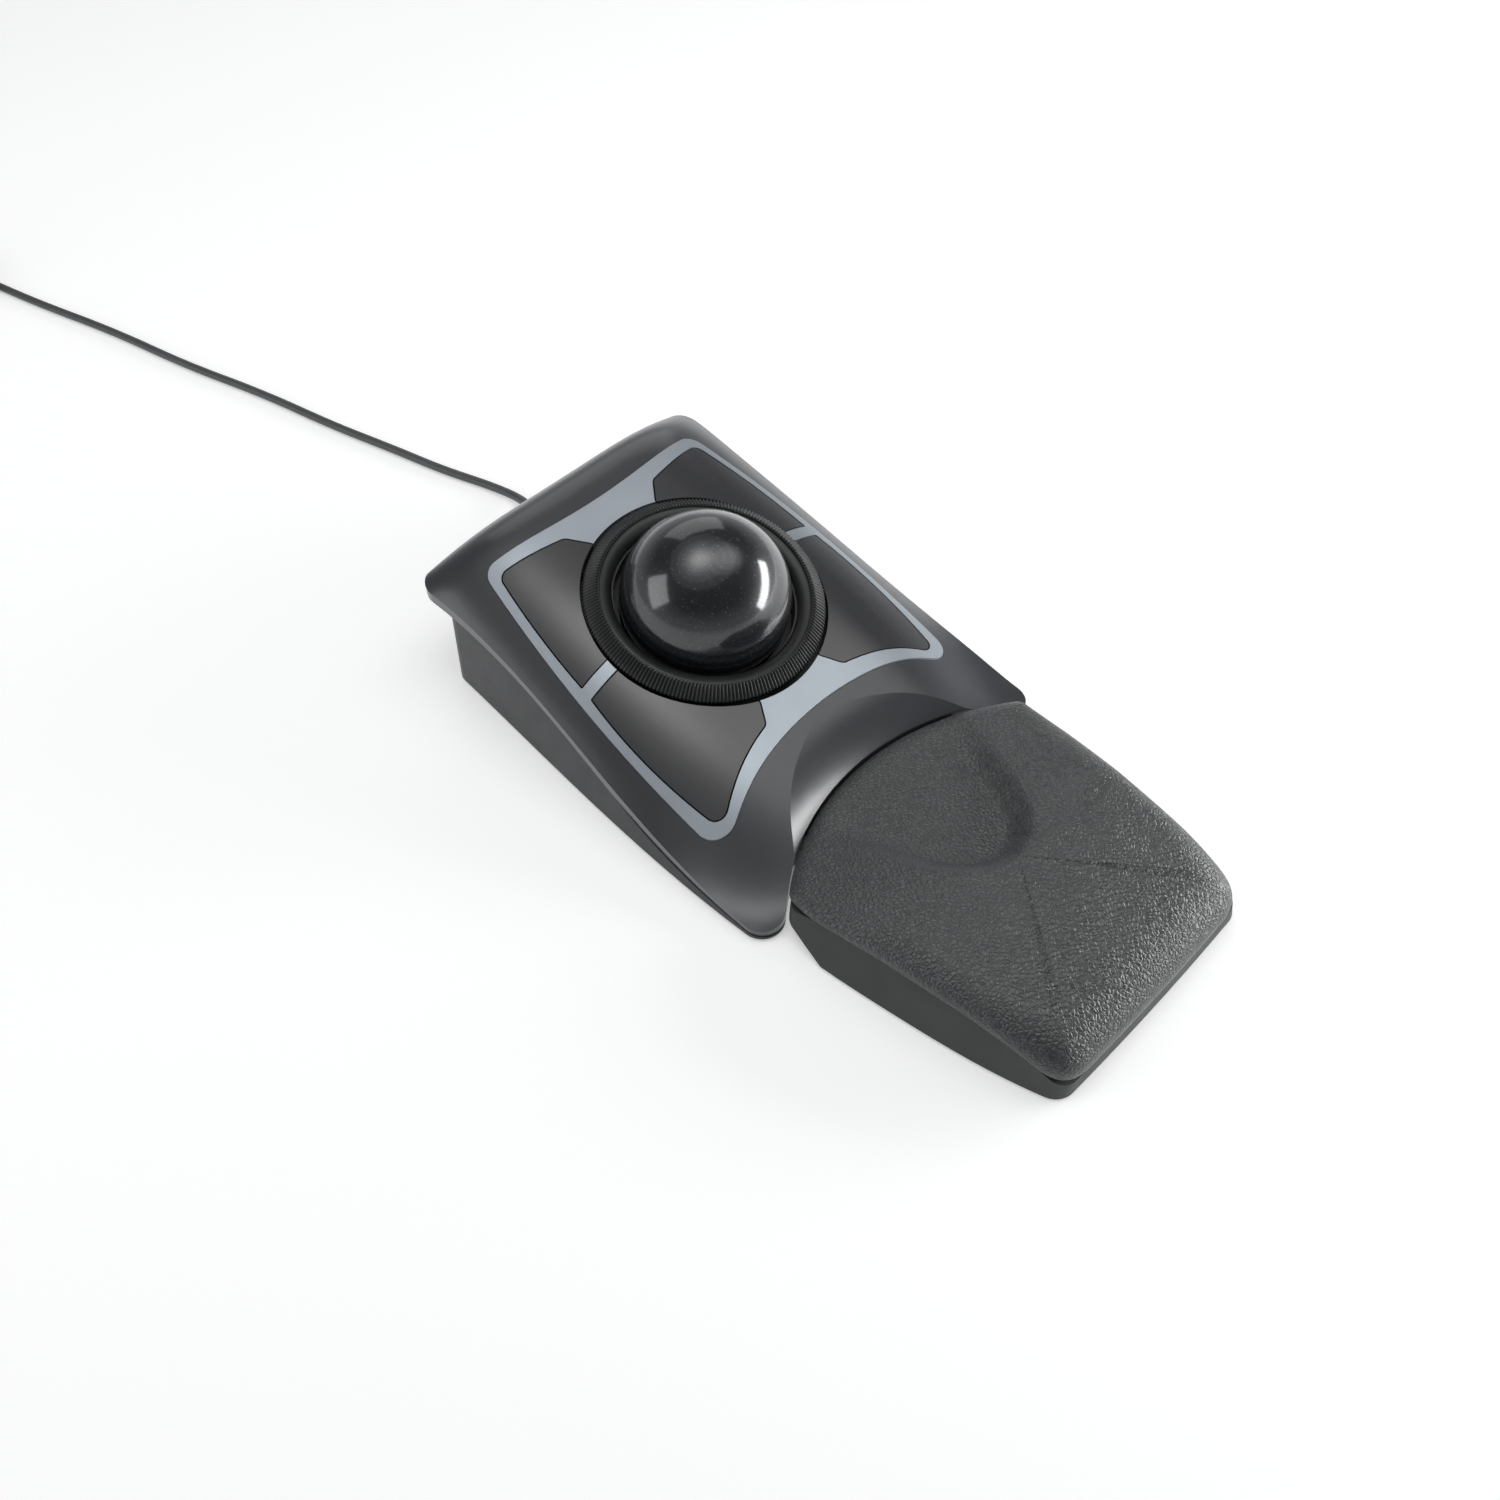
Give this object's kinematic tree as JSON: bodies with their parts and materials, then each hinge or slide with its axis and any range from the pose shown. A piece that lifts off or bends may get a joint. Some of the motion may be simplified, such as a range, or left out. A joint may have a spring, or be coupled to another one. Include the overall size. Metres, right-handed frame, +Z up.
{
  "type": "trackball mouse",
  "caption": "Corded desktop trackball: large ball in a turning scroll ring, buttons at its sides, tilted low housing and a padded wrist rest that unhooks from the front.",
  "frame": {"origin": "on the table under the middle of the mouse with its wrist rest, the cord left out", "axes": "+Z up, +Y from the user towards the cord, +X to the right of the user"},
  "size_m": [0.228, 0.5979, 0.0644],
  "materials": {
    "lid": "charcoal, semi-gloss",
    "base": "charcoal, fine satin",
    "bezel": "silver-grey satin lacquer",
    "button": "dark grey, semi-gloss",
    "ring": "black, knurled",
    "ball": "polished black with fine pearl flecks",
    "pad": "black leatherette, pebble grain",
    "rest_base": "charcoal, fine texture",
    "foot": "black",
    "cord": "dark grey, smooth",
    "cord_sleeve": "black, ribbed",
    "plug": "black",
    "plug_metal": "bright nickel",
    "connector": "off-white",
    "inner_plastic": "dark grey, moulded",
    "steel": "plain",
    "board": "green solder mask",
    "chip": "black epoxy",
    "switch": "black",
    "plunger": "ivory",
    "lens": "clear"
  },
  "bodies": {
    "housing": {"ball_bearing_1": "steel", "ball_bearing_2": "steel", "ball_bearing_3": "steel", "ball_cup": "inner_plastic", "ball_sensor": "chip", "bezel": "bezel", "board_screws": "steel", "bottom_case": "base", "carrier_screws": "steel", "case_screws": "steel", "chassis": "inner_plastic", "chassis_screws": "steel", "controller_chip": "chip", "cord": "cord", "cord_coil": "cord", "cord_header": "connector", "cord_lead": "cord", "cord_tail": "cord", "main_board": "board", "pivot_rod_left": "steel", "pivot_rod_right": "steel", "ring_carrier": "inner_plastic", "ring_clip": "steel", "ring_sensor": "chip", "rubber_feet": "foot", "sensor_board": "board", "sensor_lens": "lens", "strain_relief": "cord_sleeve", "switch_front_left": "switch", "switch_front_right": "switch", "switch_rear_left": "switch", "switch_rear_right": "switch", "top_case": "lid", "usb_plug": "plug", "usb_shell": "plug_metal", "usb_tongue": "connector"},
    "scroll_ring": {"scroll_ring": "ring"},
    "ball": {"ball": "ball"},
    "wrist_rest": {"wrist_rest_base": "rest_base", "wrist_rest_feet": "foot", "wrist_rest_pad": "pad"},
    "button_rear_left": {"button_rear_left": "button", "plunger_rear_left": "plunger"},
    "button_rear_right": {"button_rear_right": "button", "plunger_rear_right": "plunger"},
    "button_front_left": {"button_front_left": "button", "plunger_front_left": "plunger"},
    "button_front_right": {"button_front_right": "button", "plunger_front_right": "plunger"}
  },
  "joints": [
    {"name": "ring_turn", "type": "hinge", "parent": "housing", "child": "scroll_ring", "pos_m": [0, 0.054, 0.036], "axis": [0, -0.2233, 0.9748], "continuous": true},
    {"name": "ball_roll", "type": "hinge", "parent": "housing", "child": "ball", "pos_m": [0, 0.0538, 0.03688], "axis": [1, 0, 0], "continuous": true},
    {"name": "press_rear_left", "type": "hinge", "parent": "housing", "child": "button_rear_left", "pos_m": [-0.042, 0.05623, 0.02625], "axis": [0, 0.9748, 0.2233], "range_deg": [0, 2], "stiffness_Nm_per_rad": 0.1, "springref_deg": -2.29},
    {"name": "press_rear_right", "type": "hinge", "parent": "housing", "child": "button_rear_right", "pos_m": [0.042, 0.05623, 0.02625], "axis": [0, -0.9748, -0.2233], "range_deg": [0, 2], "stiffness_Nm_per_rad": 0.1, "springref_deg": -2.29},
    {"name": "press_front_left", "type": "hinge", "parent": "housing", "child": "button_front_left", "pos_m": [-0.042, 0.05623, 0.02625], "axis": [0, 0.9748, 0.2233], "range_deg": [0, 2], "stiffness_Nm_per_rad": 0.1, "springref_deg": -2.29},
    {"name": "press_front_right", "type": "hinge", "parent": "housing", "child": "button_front_right", "pos_m": [0.042, 0.05623, 0.02625], "axis": [0, -0.9748, -0.2233], "range_deg": [0, 2], "stiffness_Nm_per_rad": 0.1, "springref_deg": -2.29},
    {"name": "rest_detach", "type": "slide", "parent": "housing", "child": "wrist_rest", "axis": [0, -1, 0], "range_m": [0, 0.03]}
  ]
}
